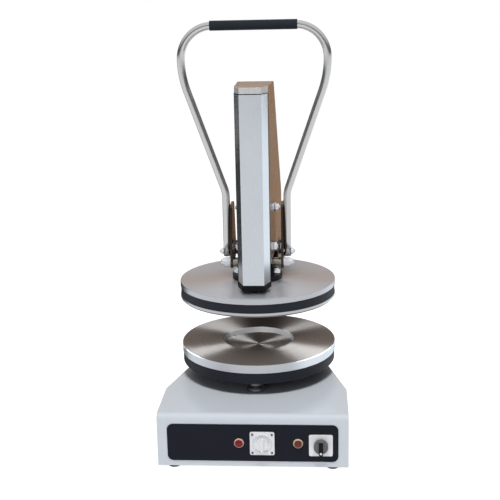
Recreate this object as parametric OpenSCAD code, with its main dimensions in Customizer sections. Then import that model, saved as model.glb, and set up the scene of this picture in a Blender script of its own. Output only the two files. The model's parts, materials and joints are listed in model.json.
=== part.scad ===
// Manual pizza dough press: heated round platens, a C-shaped column and a toggle worked by a hoop handle.
// X runs to the right, Y to the back and Z up. The part stands on Z = 0, centred on X and Y.

/* [Base] */
// Width of the housing across its front
base_w = 374; // [340:1:420]
// Depth of the housing
base_d = 513; // [490:1:560]
// Height of the housing's side
base_h = 108; // [100:1:130]
// Depth of the stretch with parallel sides, from the front
base_straight = 131; // [90:1:180]
// Width of the housing at its rear
base_rear_w = 172; // [165:1:240]
// Sheet thickness of the housing
base_sheet = 1.5; // [1:0.1:3]
// Outside radius of the bend between front and top
bend_r = 13; // [5:0.5:16]
// Height of a foot
foot_h = 5; // [4:0.5:20]
// Diameter of a foot
foot_d = 24; // [16:1:32]
// Distance of a foot's centre from the housing's side, and of a rear foot from the rear
foot_inset = 31; // [24:1:45]
// Distance of a front foot's centre behind the housing's front
foot_front_inset = 14; // [14:1:45]

/* [Control panel] */
// Distance of the dark front panel from the housing's sides
panel_margin = 20; // [18:1:26]
// Height of the dark front panel
panel_h = 77; // [70:1:84]
// Height of the panel's middle line over the housing's lower edge
panel_rise = 50; // [45:0.5:55]
// Thickness of the dark front panel
panel_t = 1.2; // [0.8:0.1:3]
// Corner radius of the dark front panel
panel_r = 12; // [6:1:20]
// Side of the timer's square plate
timer_side = 48; // [44:1:54]
// Place of the timer to the right of the middle
timer_x = 19.3; // [10:0.1:30]
// Diameter of the timer's dial
dial_d = 24; // [20:1:28]
// Height of the timer's dial
dial_h = 12; // [8:1:18]
// Width of the switch's plate
switch_w = 46; // [42:1:50]
// Height of the switch's plate
switch_h = 44; // [42:1:48]
// Distance of the switch's axis from the panel's right end
switch_edge = 34; // [30:0.5:40]
// Distance of the switch's axis below the panel's middle line
switch_drop = 3; // [0:0.5:6]
// Diameter of the switch's knob
knob_d = 28; // [24:1:34]
// Height of the switch's knob
knob_h = 16; // [12:1:24]
// Diameter of a pilot lamp's bezel
bezel_d = 20; // [16:1:24]
// Diameter of a pilot lamp's lens
lens_d = 12; // [8:0.5:14]
// Place of the red pilot lamp
red_lamp_x = -26; // [-32:0.5:-20]
// Distance of the amber pilot lamp from the switch's axis
amber_lamp_set = 44; // [38:0.5:53]

/* [Lower platen] */
// Diameter of both platens
platen_d = 330; // [300:1:334]
// Distance of the platens' axis from the housing's front
platen_set = 255; // [245:1:262]
// Thickness of the lower steel plate
lower_plate_t = 18.5; // [17:0.5:25]
// Diameter of the recess in the lower plate
recess_d = 151; // [120:1:180]
// Depth of the recess in the lower plate
recess_depth = 13; // [6:0.5:14]
// Height of the black ring under the lower plate
lower_ring_h = 23.7; // [20:0.1:30]
// Wall of the black rings
ring_wall = 12; // [8:0.5:18]
// Height of the posts under the lower platen
post_h = 25.5; // [20:0.5:40]
// Diameter of a post
post_d = 36; // [24:1:40]
// Radius of the circle of posts
post_circle_r = 128; // [110:1:134]

/* [Upper platen] */
// Gap between the platens when open
open_gap = 99; // [98:0.5:110]
// Thickness of the plate that presses
press_plate_t = 9.3; // [8:0.1:14]
// Chamfer at the lower edge of the plate that presses
press_chamfer = 4; // [1:0.5:6]
// Height of the black ring round the upper platen
upper_ring_h = 18; // [14:0.5:26]
// Thickness of the steel disc on top
top_disc_t = 12; // [8:0.5:16]
// Diameter of the round flange on the top disc
flange_d = 106; // [104:1:120]
// Thickness of the round flange
flange_t = 10; // [6:0.5:10]

/* [Column] */
// Width of the front profile across its back
profile_w = 66; // [62:1:70]
// Width of the front profile's flat face
profile_face_w = 43; // [38:1:50]
// Depth of the front profile's slanted sides
profile_slant = 32; // [24:1:34]
// Wall of the front profile
profile_wall = 3; // [2:0.5:4]
// Distance of the profile's face in front of the platens' axis
profile_set = 130; // [128:1:136]
// Height of the profile's lower end over the top disc
profile_rise = 16.8; // [15:0.1:22]
// Length of the front profile
profile_len = 380; // [370:1:420]
// Height of the cap on the column
cap_h = 13; // [8:1:20]
// Thickness of the black guide bush under the profile
bush_h = 10; // [6:0.5:12]
// Thickness of the column's side plates
side_t = 5; // [4:0.5:5.5]
// Angle by which each side plate spreads towards the rear
side_spread = 1.8; // [1:0.1:2]
// Depth of the column behind the platens
pillar_d = 70; // [60:1:80]
// Clear distance between the platens' rim and the pillar
throat_gap = 13; // [8:1:16]
// Length of the column's level top behind the profile
head_len = 153; // [140:1:170]
// Height of the point where the slanted back turns upright, over the shaft
back_rise = 110; // [90:1:140]
// Thickness of the sheets that close the column
cover_t = 1.5; // [1:0.1:2]

/* [Toggle and handle] */
// Length of a link and of a lever's arm, from pin to pin
toggle_len = 66; // [64:0.5:70]
// Height of the fixed pin over the shaft, platens open
toggle_rise = 34; // [33:0.5:38]
// Height of the shaft over the top disc
shaft_rise = 32.5; // [31:0.5:36]
// Diameter of the shaft that carries the upper platen
shaft_d = 12; // [10:0.5:12]
// Diameter of the toggle pins
pin_d = 10; // [8:0.5:12]
// Thickness of a link
link_t = 4.5; // [3:0.5:5]
// Thickness of a lever plate
lever_t = 5; // [4:0.5:6]
// Distance between the lever plates
lever_gap = 103; // [99:0.5:106]
// Outside diameter of the handle's tube
tube_d = 16; // [14:0.5:18]
// Wall of the handle's tube
tube_wall = 1.5; // [1:0.1:2.5]
// Place of the handle's plane behind the shaft
handle_set = 12; // [10:1:16]
// Height of the grip over the shaft
grip_rise = 492; // [480:1:520]
// Half the handle's width, at the tube's middle
handle_reach = 150; // [140:1:160]
// Length of the grip
grip_len = 178; // [140:1:180]
// Diameter of the grip
grip_d = 20; // [18:0.5:26]
// Radius of the handle's upper corners
corner_r = 66; // [50:1:70]
// Radius of the sweep below the upper corners
sweep_r = 200; // [150:5:220]
// Lean of the handle's slanted stretch
tube_lean = 19.4; // [17:0.1:21]
// Radius of the handle's lower bend
knee_r = 60; // [40:1:80]

/* [Hidden] */
// Overrun of every cut
cut = 1;
// Radial clearance of a turning pin in its hole
run_fit = 0.05;
// Clearance between pieces that slide past or sit beside each other
slide_fit = 0.4;
// Facets of a rounded outline made from several circles
outline_fn = 32;

// Thickness and corner radius of the timer's and the switch's plates
plate_t = 3;
plate_r = 3.5;
// Height of the lamp bezels over the panel, depth of the lens seats and height of the lens domes
bezel_h = 3;
lens_h = 2.4;
lens_dome = 2;
// Bodies behind the panel
timer_body_d = 60;
timer_body_side = 44;
switch_body_d = 46;
switch_body_r = 17;
lamp_body_d = 28;
lamp_body_r = 5.5;
spindle_r = 3;
screw_r = 2.2;
screw_h = 1.2;
screw_inset = 5;
knob_bar_w = 8;
knob_bar_share = 0.45;
dial_ridge_w = 5;
// Raised scale round the timer's dial
scale_d = 40;
scale_w = 3;
scale_h = 0.8;
dial_ridge_share = 0.4;

// Cable gland at the rear
gland_out = 18;
gland_flat = 22;
gland_hex_h = 6;
gland_r = 8;
gland_bore_r = 4;
gland_x = 50;
gland_rise = 40;

// Inner pieces of the base
bottom_t = 1.5;
carrier_t = 6;
carrier_margin = 14;
carrier_rear_margin = 3;
terminal_size = [60, 22, 20];
terminal_back = 90;
slot_len = 50;
slot_w = 5;
slot_pitch = 14;
slot_count = 5;
bolt_r = 4;
bolt_flat = 13;
bolt_head_h = 5.3;
nut_h = 6.5;
washer_r = 10;
washer_t = 1.6;

// Heaters and the web that closes each ring
heater_r = 5;
heater_circle_r = 105;
heater_gap = 0.3;
ring_inset = 1;
ring_taper = 3;
rim_chamfer = 1;
post_neck_share = 0.7;

// Column details
throat_r = 18;
head_drop = 14.5;
foot_plate_t = 8;
foot_plate_w = 150;
foot_plate_margin = 4;
foot_bolt_x = 60;
spacer_r = 9;
rod_r = 8;
rod_len = 166;
spring_r = 9;
spring_wire_r = 1.1;
spring_turns = 24;
spring_sides = 6;
spring_steps = 8;
spring_gap = 0.3;
hanger_r = 4;
hanger_drop = 18;
// Frame bolts: places behind the seam with the profile, and distances from the plate's edges
mid_bolt_set = 144;
pillar_bolt_drop = 100;
low_bolt_rise = 90;
head_r = 14;
head_steps = 6;
throat_steps = 12;
bush_lip = 1.5;

// Toggle and handle details
link_eye_r = 15;
lever_eye_r = 13;
lever_rear_r = 22;
lever_top_r = 17;
lever_top_set = 48;
lever_top_rise = 106;
lever_front_r = 8;
pin_nut_h = 7;
pin_nut_flat = 16;
ring_clip_t = 0.9;
ring_clip_r = 8;
rear_head_r = 10;
rear_head_h = 5;
shaft_washer_r = 12;
shaft_washer_t = 2.5;
shaft_nut_flat = 19;
shaft_nut_h = 11;
shaft_dome_r = 9;
sleeve_r = 10;
block_half = 20;
block_r = 16;
flange_bolt_circle_r = 42;
flange_stud_out = 2.5;
handle_bolt_r = 4;
handle_bolt_rise = 22;
tube_end_rise = 11.5;
handle_nut_flat = 13;
handle_nut_h = 4;
handle_dome_r = 5;
tube_sides = 16;
knee_steps = 4;
sweep_steps = 8;
corner_steps = 14;

// Places worked out from the sizes above
knob_out = panel_t + plate_t + knob_h;
base_front = knob_out - (base_d + knob_out + gland_out) / 2;
base_rear = base_front + base_d;
axis_y = base_front + platen_set;
base_top = foot_h + base_h;
panel_w = base_w - 2 * panel_margin;
panel_z = foot_h + panel_rise;
switch_x = panel_w / 2 - switch_edge;
amber_lamp_x = switch_x - amber_lamp_set;
switch_z = panel_z - switch_drop;
panel_face = base_front - panel_t;
lower_ring_z = base_top + post_h;
lower_plate_z = lower_ring_z + lower_ring_h;
lower_top = lower_plate_z + lower_plate_t;
press_z = lower_top + open_gap;
upper_ring_z = press_z + press_plate_t;
top_disc_z = upper_ring_z + upper_ring_h;
upper_top = top_disc_z + top_disc_t;
shaft_z = upper_top + shaft_rise;
fixed_z = shaft_z + toggle_rise;
open_angle = acos(toggle_rise / 2 / toggle_len);
rear_pin_y = axis_y + toggle_len * sin(open_angle);
rear_pin_z = shaft_z + toggle_rise / 2;
profile_front = axis_y - profile_set;
seam_y = profile_front + profile_slant;
profile_z = upper_top + profile_rise;
profile_top = profile_z + profile_len;
throat_z = fixed_z - head_drop;
pillar_front = axis_y - seam_y + platen_d / 2 + throat_gap;
pillar_back = pillar_front + pillar_d;
foot_plate_top = base_top + foot_plate_t;
back_z = shaft_z + back_rise;
head_z = profile_top + cap_h;
slant = atan2(head_z - back_z, pillar_back - head_len);
head_tangent = head_r * tan(slant / 2);
frame_bolt_places = [[mid_bolt_set, back_z],
    [pillar_front + pillar_d / 2, throat_z - pillar_bolt_drop],
    [pillar_front + pillar_d / 2, foot_plate_top + low_bolt_rise]];
rod_y = profile_front + profile_slant / 2;
rod_top = upper_top + rod_len;
hanger_z = profile_top - hanger_drop;
tube_r = tube_d / 2;
tube_x = lever_gap / 2 + lever_t + tube_r;
handle_y = axis_y + handle_set;
grip_z = shaft_z + grip_rise;
lever_outer = lever_gap / 2 + lever_t;
link_x = lever_gap / 2 - ring_clip_t - slide_fit - link_t;
corner_x = handle_reach - corner_r;
corner_z = grip_z - corner_r;
sweep_x = handle_reach - sweep_r;
sweep_end = [sweep_x + sweep_r * cos(tube_lean), corner_z - sweep_r * sin(tube_lean)];
knee_start_x = tube_x + knee_r * (1 - cos(tube_lean));
knee_start_z = sweep_end.y - (sweep_end.x - knee_start_x) / tan(tube_lean);
knee_z = knee_start_z - knee_r * sin(tube_lean);
tube_end_z = shaft_z + tube_end_rise;

// Turns a drawing of Y and Z into a slab of thickness t along X
module slab(t) {
    rotate([90, 0, 90]) linear_extrude(t) children();
}

// Cylinder along X, centred on the middle plane
module cross_rod(r, len) {
    rotate([0, 90, 0]) cylinder(r = r, h = len, center = true, $fn = 64);
}

// Cylinder along X from the place x outwards
module side_rod(r, x, len) {
    translate([x, 0, 0]) rotate([0, 90, 0]) cylinder(r = r, h = len, $fn = 64);
}

// Hexagon along X from the place x outwards
module side_hex(flat, x, len) {
    translate([x, 0, 0]) rotate([0, 90, 0]) cylinder(r = flat / sqrt(3), h = len, $fn = 6);
}

// Draws its children and their mirror image in the middle plane
module both_sides() {
    children();
    mirror([1, 0, 0]) children();
}

// Rectangle with round corners, centred
module rounded_rect(w, h, r) {
    square([w - 2 * r, h], center = true);
    square([w, h - 2 * r], center = true);
    for (x = [-1, 1], y = [-1, 1]) translate([x * (w / 2 - r), y * (h / 2 - r)]) circle(r, $fn = 48);
}

// Puts a drawing of X and Z on the panel, growing forwards from the face at y
module on_panel(x, y, t, z = panel_z) {
    translate([x, y, z]) rotate([90, 0, 0]) linear_extrude(t) children();
}

// Points of an arc, from angle a to angle b
function arc(centre, r, a, b, steps) =
    [for (i = [0 : steps]) centre + r * [cos(a + (b - a) * i / steps), sin(a + (b - a) * i / steps)]];

// Half width of the housing's plan at its rear and front, drawn in by t
module base_plan(t) {
    half = base_w / 2 - t;
    rear = base_rear_w / 2 - t;
    kink = base_front + base_straight;
    polygon([[-half, base_front + t], [half, base_front + t], [half, kink], [rear, base_rear - t],
        [-rear, base_rear - t], [-half, kink]]);
}

// Side view of the housing, drawn in by t, with the bend between front and top
module base_side(t) {
    r = bend_r - t;
    difference() {
        translate([base_front + t, foot_h - cut]) square([base_d - 2 * t, base_h + cut - t]);
        translate([base_front + t - cut, base_top - bend_r]) square([r + cut, bend_r + cut]);
    }
    translate([base_front + bend_r, base_top - bend_r]) circle(r, $fn = 96);
}

// Solid of the housing, drawn in by t
module base_block(t) {
    intersection() {
        translate([0, 0, foot_h - (t > 0 ? cut : 0)]) linear_extrude(base_h + cut) base_plan(t);
        translate([-base_w / 2, 0, 0]) slab(base_w) base_side(t);
    }
}

module base_housing() {
    color("gainsboro") difference() {
        base_block(0);
        base_block(base_sheet);
        on_panel(timer_x, base_front + base_sheet + cut, base_sheet + 2 * cut)
            square(timer_body_side + slide_fit, center = true);
        on_panel(switch_x, base_front + base_sheet + cut, base_sheet + 2 * cut, switch_z)
            circle(switch_body_r + slide_fit / 2, $fn = 64);
        for (x = [red_lamp_x, amber_lamp_x])
            on_panel(x, base_front + base_sheet + cut, base_sheet + 2 * cut)
                circle(lamp_body_r + slide_fit / 2, $fn = 48);
        translate([gland_x, base_rear + cut, foot_h + gland_rise]) rotate([90, 0, 0])
            cylinder(r = gland_r + slide_fit / 2, h = base_sheet + 2 * cut, $fn = 48);
        translate([0, axis_y, base_top - base_sheet - cut]) post_places()
            cylinder(r = bolt_r + slide_fit, h = base_sheet + 2 * cut, $fn = 32);
        column_bolt_places() translate([0, 0, base_top - base_sheet - cut])
            cylinder(r = bolt_r + slide_fit, h = base_sheet + 2 * cut, $fn = 32);
    }
}

module bottom_plate() {
    color("silver") difference() {
        translate([0, 0, foot_h]) linear_extrude(bottom_t) base_plan(base_sheet + slide_fit / 2);
        for (i = [0 : slot_count - 1])
            translate([-slot_len / 2, axis_y + (i - (slot_count - 1) / 2) * slot_pitch, foot_h - cut])
                cube([slot_len, slot_w, bottom_t + 2 * cut]);
        foot_places() translate([0, 0, foot_h - cut]) cylinder(r = bolt_r, h = bottom_t + 2 * cut, $fn = 32);
    }
}

// Steel plate under the housing's top that carries the posts and the column
module carrier_plate() {
    rear = base_rear_w / 2 - carrier_rear_margin;
    rear_y = base_rear - carrier_rear_margin;
    half = post_circle_r + carrier_margin;
    color("dimgray") translate([0, 0, base_top - base_sheet - carrier_t]) difference() {
        linear_extrude(carrier_t) polygon([[-half, axis_y - half], [half, axis_y - half], [half, axis_y],
            [rear, rear_y], [-rear, rear_y], [-half, axis_y]]);
        translate([0, axis_y, -cut]) post_places()
            cylinder(r = bolt_r + run_fit, h = carrier_t + 2 * cut, $fn = 32);
        column_bolt_places() translate([0, 0, -cut])
            cylinder(r = bolt_r + run_fit, h = carrier_t + 2 * cut, $fn = 32);
    }
}

module foot_places() {
    for (x = [-1, 1]) {
        translate([x * (base_w / 2 - foot_inset), base_front + foot_front_inset, 0]) children();
        translate([x * (base_rear_w / 2 - foot_inset), base_rear - foot_inset, 0]) children();
    }
}

module feet() {
    color("black") foot_places() {
        cylinder(d = foot_d, h = foot_h, $fn = 64);
        translate([0, 0, foot_h]) cylinder(r = bolt_r - run_fit, h = bottom_t, $fn = 32);
    }
}

module control_panel() {
    color("midnightblue") difference() {
        on_panel(0, base_front, panel_t) rounded_rect(panel_w, panel_h, panel_r);
        on_panel(timer_x, base_front + cut, panel_t + 2 * cut)
            square(timer_body_side + slide_fit, center = true);
        on_panel(switch_x, base_front + cut, panel_t + 2 * cut, switch_z)
            circle(switch_body_r + slide_fit / 2, $fn = 64);
        for (x = [red_lamp_x, amber_lamp_x])
            on_panel(x, base_front + cut, panel_t + 2 * cut) circle(lamp_body_r + slide_fit / 2, $fn = 48);
    }
}

module pilot_bezels() {
    color("wheat") for (x = [red_lamp_x, amber_lamp_x]) difference() {
        union() {
            translate([x, panel_face, panel_z]) rotate([90, 0, 0])
                cylinder(d1 = bezel_d, d2 = bezel_d - bezel_h, h = bezel_h, $fn = 64);
            on_panel(x, panel_face + lamp_body_d, lamp_body_d) circle(lamp_body_r, $fn = 48);
        }
        on_panel(x, panel_face - bezel_h + lens_h, lens_h + cut) circle(d = lens_d + slide_fit / 2, $fn = 48);
    }
}

// Lens of a pilot lamp: a short cylinder with a domed end
module lens(x) {
    r = lens_d / 2;
    dome_r = (r * r + lens_dome * lens_dome) / 2 / lens_dome;
    translate([x, panel_face - bezel_h + lens_h, panel_z]) rotate([90, 0, 0]) {
        cylinder(r = r, h = lens_h, $fn = 48);
        translate([0, 0, lens_h]) intersection() {
            translate([0, 0, lens_dome - dome_r]) sphere(r = dome_r, $fn = 64);
            cylinder(r = r, h = 2 * lens_dome, $fn = 48);
        }
    }
}

module red_lens() {
    color("firebrick") lens(red_lamp_x);
}

module amber_lens() {
    color("sienna") lens(amber_lamp_x);
}

module timer_plate() {
    color("whitesmoke") difference() {
        union() {
            on_panel(timer_x, panel_face, plate_t) rounded_rect(timer_side, timer_side, plate_r);
            on_panel(timer_x, panel_face - plate_t, scale_h) difference() {
                circle(d = scale_d, $fn = 96);
                circle(d = scale_d - 2 * scale_w, $fn = 96);
            }
        }
        on_panel(timer_x, panel_face + cut, plate_t + 2 * cut) circle(spindle_r + run_fit, $fn = 48);
    }
}

module timer_body() {
    color("dimgray") difference() {
        on_panel(timer_x, panel_face + timer_body_d, timer_body_d) square(timer_body_side, center = true);
        on_panel(timer_x, panel_face + plate_t + slide_fit, plate_t + slide_fit + cut)
            circle(spindle_r + run_fit, $fn = 48);
    }
}

module timer_dial() {
    face = panel_face - plate_t - slide_fit;
    ridge = dial_h * dial_ridge_share;
    color("white") {
        on_panel(timer_x, face, dial_h - ridge) circle(d = dial_d, $fn = 96);
        on_panel(timer_x, face - dial_h + ridge, ridge) intersection() {
            circle(d = dial_d, $fn = 96);
            square([dial_ridge_w, dial_d], center = true);
        }
        on_panel(timer_x, panel_face + plate_t, 2 * plate_t + slide_fit) circle(spindle_r, $fn = 48);
    }
}

module switch_plate() {
    color("whitesmoke") difference() {
        on_panel(switch_x, panel_face, plate_t, switch_z) rounded_rect(switch_w, switch_h, plate_r);
        on_panel(switch_x, panel_face + cut, plate_t + 2 * cut, switch_z)
            circle(spindle_r + run_fit, $fn = 48);
    }
}

module switch_body() {
    color("dimgray") difference() {
        on_panel(switch_x, panel_face + switch_body_d, switch_body_d, switch_z)
            circle(switch_body_r, $fn = 64);
        on_panel(switch_x, panel_face + plate_t + slide_fit, plate_t + slide_fit + cut, switch_z)
            circle(spindle_r + run_fit, $fn = 48);
    }
}

module switch_knob() {
    face = panel_face - plate_t - slide_fit;
    bar = knob_h * knob_bar_share;
    color("darkslategray") {
        on_panel(switch_x, face, knob_h - slide_fit - bar, switch_z) circle(d = knob_d, $fn = 96);
        on_panel(switch_x, face - knob_h + slide_fit + bar, bar, switch_z) intersection() {
            circle(d = knob_d, $fn = 96);
            square([knob_bar_w, knob_d], center = true);
        }
        on_panel(switch_x, panel_face + plate_t, 2 * plate_t + slide_fit, switch_z)
            circle(spindle_r, $fn = 48);
    }
}

module panel_screws() {
    reach = timer_side / 2 - screw_inset;
    color("gray") for (x = [-1, 1], z = [-1, 1])
        translate([0, 0, z * reach]) on_panel(timer_x + x * reach, panel_face - plate_t, screw_h)
            circle(screw_r, $fn = 32);
}

module cable_gland() {
    color("black") translate([gland_x, base_rear, foot_h + gland_rise]) rotate([-90, 0, 0]) difference() {
        union() {
            translate([0, 0, -2 * gland_hex_h]) cylinder(r = gland_r, h = 2 * gland_hex_h, $fn = 48);
            cylinder(r = gland_flat / sqrt(3), h = gland_hex_h, $fn = 6);
            translate([0, 0, gland_hex_h])
                cylinder(r1 = gland_flat / 2, r2 = gland_r, h = gland_out - gland_hex_h, $fn = 64);
        }
        translate([0, 0, -2 * gland_hex_h - cut])
            cylinder(r = gland_bore_r, h = gland_out + 2 * gland_hex_h + 2 * cut, $fn = 32);
    }
}

module terminal_block() {
    color("ivory") translate([-terminal_size.x / 2, base_rear - terminal_back, foot_h + bottom_t])
        cube(terminal_size);
}

module post_places() {
    for (a = [0 : 90 : 270]) rotate([0, 0, a]) translate([0, -post_circle_r, 0]) children();
}

// Waisted posts under the lower platen, with a bolt hole from below
module support_posts() {
    neck = post_d / 2 * post_neck_share;
    step = post_h / 4;
    color("silver") translate([0, axis_y, base_top]) post_places() difference() {
        rotate_extrude($fn = 64) polygon([[0, 0], [post_d / 2, 0], [post_d / 2, step], [neck, 2 * step],
            [neck, 3 * step], [post_d / 2, post_h], [0, post_h]]);
        translate([0, 0, -cut]) cylinder(r = bolt_r + run_fit, h = post_h / 2 + cut, $fn = 32);
    }
}

module post_bolts() {
    under = base_top - base_sheet - carrier_t;
    color("silver") translate([0, axis_y, under]) post_places() {
        translate([0, 0, -bolt_head_h]) cylinder(r = bolt_flat / sqrt(3), h = bolt_head_h, $fn = 6);
        cylinder(r = bolt_r, h = carrier_t + base_sheet + post_h / 2, $fn = 32);
    }
}

// Black heat shield: an open ring with a closed floor on the side away from the steel plate
module shield(h, floor_at_top) {
    r = platen_d / 2 - ring_inset;
    rotate_extrude($fn = 128) if (floor_at_top) {
        polygon([[0, h - ring_taper], [r - ring_wall, h - ring_taper], [r - ring_wall, 0], [r, 0], [r, h],
            [0, h]]);
    } else {
        polygon([[0, 0], [r - ring_taper, 0], [r, ring_taper], [r, h], [r - ring_wall, h],
            [r - ring_wall, ring_taper], [0, ring_taper]]);
    }
}

module lower_ring() {
    color("#2A2E38") translate([0, axis_y, lower_ring_z]) shield(lower_ring_h, false);
}

module lower_plate() {
    r = platen_d / 2;
    recess_r = recess_d / 2;
    floor_z = lower_plate_t - recess_depth;
    color("lightsteelblue") translate([0, axis_y, lower_plate_z]) rotate_extrude($fn = 192)
        polygon([[0, 0], [r, 0], [r, lower_plate_t - rim_chamfer], [r - rim_chamfer, lower_plate_t],
            [recess_r, lower_plate_t], [recess_r, floor_z], [0, floor_z]]);
}

// Ring-shaped heating rod
module heater_ring() {
    rotate_extrude($fn = 96) translate([heater_circle_r, 0]) circle(heater_r, $fn = 32);
}

module lower_heater() {
    color("darkgray") translate([0, axis_y, lower_plate_z - heater_r - heater_gap]) heater_ring();
}

module column_bolt_places() {
    for (x = [-1, 1], y = [pillar_front + foot_plate_margin, pillar_back - foot_plate_margin])
        translate([x * foot_bolt_x, seam_y + y, 0]) children();
}

// Plate that carries the column on the housing's top
module column_foot() {
    color("silver") difference() {
        translate([-foot_plate_w / 2, seam_y + pillar_front - washer_r, base_top])
            cube([foot_plate_w, pillar_d + washer_r + foot_plate_margin, foot_plate_t]);
        column_bolt_places() translate([0, 0, base_top - cut])
            cylinder(r = bolt_r + run_fit, h = foot_plate_t + 2 * cut, $fn = 32);
    }
}

module column_bolts() {
    under = base_top - base_sheet - carrier_t;
    color("silver") column_bolt_places() {
        translate([0, 0, foot_plate_top]) cylinder(r = bolt_flat / sqrt(3), h = bolt_head_h, $fn = 6);
        translate([0, 0, under]) cylinder(r = bolt_r, h = foot_plate_top - under, $fn = 32);
    }
}

// Round corner between the column's level top and its slanted back
function head_arc() = arc([head_len - head_tangent, head_z - head_r], head_r, 90, 90 - slant, head_steps);

// Side view of a side plate, measured from the seam with the front profile
module side_outline() {
    seam = side_t * tan(side_spread);
    polygon(concat(
        [[seam, throat_z], [seam, head_z]], head_arc(), [[pillar_back, back_z],
            [pillar_back, foot_plate_top], [pillar_front, foot_plate_top]],
        arc([pillar_front - throat_r, throat_z - throat_r], throat_r, 0, 90, throat_steps)));
}

// Place of a side plate's outer face at a distance behind the seam
function side_x(y) = profile_w / 2 + y * tan(side_spread);

module side_plate() {
    difference() {
        translate([profile_w / 2 - side_t, seam_y, 0]) rotate([0, 0, -side_spread])
            slab(side_t) side_outline();
        for (p = frame_bolt_places) translate([0, seam_y + p[0], p[1]])
            cross_rod(bolt_r + slide_fit, 2 * base_w);
        translate([0, axis_y, fixed_z]) cross_rod(pin_d / 2 + run_fit, 2 * base_w);
    }
}

module side_plate_right() {
    color("silver") side_plate();
}

module side_plate_left() {
    color("silver") mirror([1, 0, 0]) side_plate();
}

// Space between the side plates, as a wedge that widens to the rear
module between_plates() {
    front = profile_w / 2 - side_t - slide_fit / 2;
    rear = front + pillar_back * tan(side_spread);
    translate([0, seam_y, base_top]) linear_extrude(head_z)
        polygon([[-front, 0], [front, 0], [rear, pillar_back], [-rear, pillar_back]]);
}

module back_cover() {
    cover_end = head_arc()[head_steps];
    inward = cover_t * [sin(slant), cos(slant)];
    color("silver") intersection() {
        between_plates();
        translate([-base_w / 2, seam_y, 0]) slab(base_w) polygon([cover_end, [pillar_back, back_z],
            [pillar_back, foot_plate_top], [pillar_back - cover_t, foot_plate_top],
            [pillar_back - cover_t, back_z - cover_t * tan(slant / 2)], cover_end - inward]);
    }
}

module throat_cover() {
    color("silver") intersection() {
        between_plates();
        translate([-base_w / 2, seam_y, 0]) slab(base_w) translate([pillar_front, foot_plate_top])
            square([cover_t, throat_z - foot_plate_top]);
    }
}

module frame_spacers() {
    color("gray") for (p = frame_bolt_places) {
        half = side_x(p[0] - spacer_r) - side_t / cos(side_spread);
        translate([0, seam_y + p[0], p[1]]) difference() {
            cross_rod(spacer_r, 2 * half);
            cross_rod(bolt_r + run_fit, 2 * half + cut);
        }
    }
}

module frame_bolts() {
    color("gainsboro") for (p = frame_bolt_places) {
        face = side_x(p[0] + washer_r);
        translate([0, seam_y + p[0], p[1]]) {
            cross_rod(bolt_r, 2 * (face + washer_t + nut_h + flange_stud_out));
            both_sides() {
                side_rod(washer_r, face, washer_t);
                side_hex(bolt_flat, face + washer_t, nut_h);
            }
        }
    }
}

// Half width of the front profile at a depth behind its face
function profile_half(d) = profile_face_w / 2 + d * (profile_w - profile_face_w) / 2 / profile_slant;

// Plan of the front profile, larger by grow at its face and sides
module profile_plan(grow) {
    near = profile_half(0) + grow;
    far = profile_half(profile_slant) + grow;
    translate([0, profile_front])
        polygon([[-near, -grow], [near, -grow], [far, profile_slant], [-far, profile_slant]]);
}

module profile_hollow() {
    wall_x = profile_wall / cos(atan((profile_w - profile_face_w) / 2 / profile_slant));
    near = profile_half(profile_wall) - wall_x;
    far = profile_half(profile_slant - profile_wall) - wall_x;
    translate([0, profile_front]) polygon([[-near, profile_wall], [near, profile_wall],
        [far, profile_slant - profile_wall], [-far, profile_slant - profile_wall]]);
}

// Hollow drawn profile on the front of the column
module front_profile() {
    color("lightsteelblue") translate([0, 0, profile_z]) difference() {
        linear_extrude(profile_len) profile_plan(0);
        translate([0, 0, -cut]) linear_extrude(profile_len + 2 * cut) profile_hollow();
    }
}

module top_cap() {
    cover_end = head_arc()[head_steps];
    inward = cover_t * [sin(slant), cos(slant)];
    color("lightgray") {
        translate([0, 0, profile_top]) linear_extrude(cap_h) profile_plan(0);
        intersection() {
            between_plates();
            translate([-base_w / 2, seam_y, 0]) slab(base_w) polygon(concat([[0, profile_top], [0, head_z]],
                head_arc(), [cover_end - inward, [head_len - head_tangent, profile_top]]));
        }
    }
}

// Black end piece of the profile, bored for the guide rod
module guide_bush() {
    color("black") translate([0, 0, profile_z - bush_h]) difference() {
        linear_extrude(bush_h) profile_plan(bush_lip);
        translate([0, rod_y, -cut]) cylinder(r = rod_r + slide_fit, h = bush_h + 2 * cut, $fn = 64);
    }
}

module spring_hanger() {
    half = profile_half(profile_slant / 2 - hanger_r) - profile_wall - slide_fit;
    color("silver") translate([0, rod_y, hanger_z]) cross_rod(hanger_r, 2 * half);
}

// Points of one cross section of the spring's wire at turn angle a and height z
function wire_ring(a, z) = [for (i = [0 : spring_sides - 1]) let (b = 360 * i / spring_sides)
    let (r = spring_r + spring_wire_r * cos(b)) [r * cos(a), r * sin(a), z + spring_wire_r * sin(b)]];

// Return spring: one unbroken coil between the guide rod and its hanger
module return_spring() {
    low = rod_top + spring_gap + spring_wire_r;
    high = hanger_z - hanger_r - spring_gap - spring_wire_r;
    count = spring_turns * spring_steps;
    rings = [for (i = [0 : count]) wire_ring(360 * i / spring_steps, low + (high - low) * i / count)];
    last = count * spring_sides;
    sides = [for (i = [0 : count - 1], j = [0 : spring_sides - 1])
        let (k = (j + 1) % spring_sides, p = i * spring_sides, q = p + spring_sides)
        each [[p + j, q + j, p + k], [p + k, q + j, q + k]]];
    ends = [for (j = [1 : spring_sides - 2]) each [[0, j, j + 1], [last, last + j + 1, last + j]]];
    echo(least_gap = (high - low) / spring_turns - 2 * spring_wire_r);
    color("gray") translate([0, rod_y, 0]) polyhedron([for (ring = rings) each ring], concat(sides, ends));
}

// Pin on which both links hang from the column
module fixed_pin() {
    color("silver") translate([0, axis_y, fixed_z])
        cross_rod(pin_d / 2, 2 * (link_x + link_t + run_fit + ring_clip_t));
}

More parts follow.
